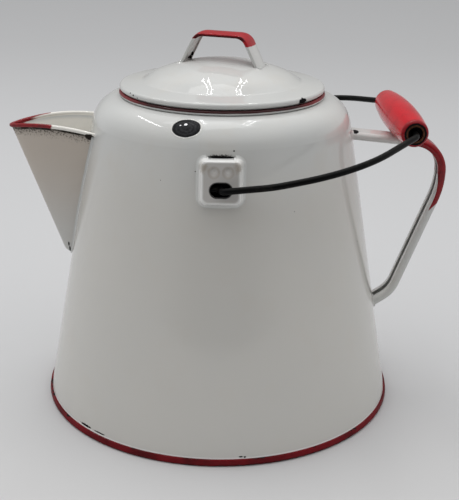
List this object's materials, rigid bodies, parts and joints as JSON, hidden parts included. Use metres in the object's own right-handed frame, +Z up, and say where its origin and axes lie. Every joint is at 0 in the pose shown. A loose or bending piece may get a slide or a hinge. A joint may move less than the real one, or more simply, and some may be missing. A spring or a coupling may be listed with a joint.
{
  "type": "enamel coffee pot",
  "caption": "Large enamelled steel coffee pot with a conical body, open keeled spout, channel side handle, wire bail with a turned wooden grip, and a loose domed lid with a strap handle.",
  "frame": {"origin": "centre of the pot's flat bottom, on the surface it stands on", "axes": "+Z up along the pot's axis, +X towards the side handle, -X towards the pouring spout, the bail's ears on -Y and +Y"},
  "size_m": [0.2931, 0.2416, 0.2508],
  "materials": {
    "white_enamel": "gloss",
    "red_enamel": "gloss",
    "dark_wire": "satin",
    "painted_wood": "gloss"
  },
  "bodies": {
    "pot": {"pot_body": "white_enamel", "bottom_pan": "red_enamel", "spout": "white_enamel", "side_handle": "white_enamel", "ear_front": "white_enamel", "ear_back": "white_enamel"},
    "bail": {"bail_wire": "dark_wire"},
    "grip": {"bail_grip": "painted_wood"},
    "lid": {"lid_shell": "white_enamel", "lid_collar": "white_enamel", "lid_handle": "red_enamel"}
  },
  "joints": [
    {"name": "lid_lift", "type": "slide", "parent": "pot", "child": "lid", "axis": [0, 0, 1], "range_m": [0, 0.06]},
    {"name": "bail_swing", "type": "hinge", "parent": "pot", "child": "bail", "pos_m": [0, 0, 0.1725], "axis": [0, -1, 0], "range_deg": [0, 154.5]},
    {"name": "grip_spin", "type": "hinge", "parent": "bail", "child": "grip", "pos_m": [0.11938, 0.0025, 0.1955], "axis": [-0.037, 0.9993, -0.0071], "continuous": true}
  ]
}
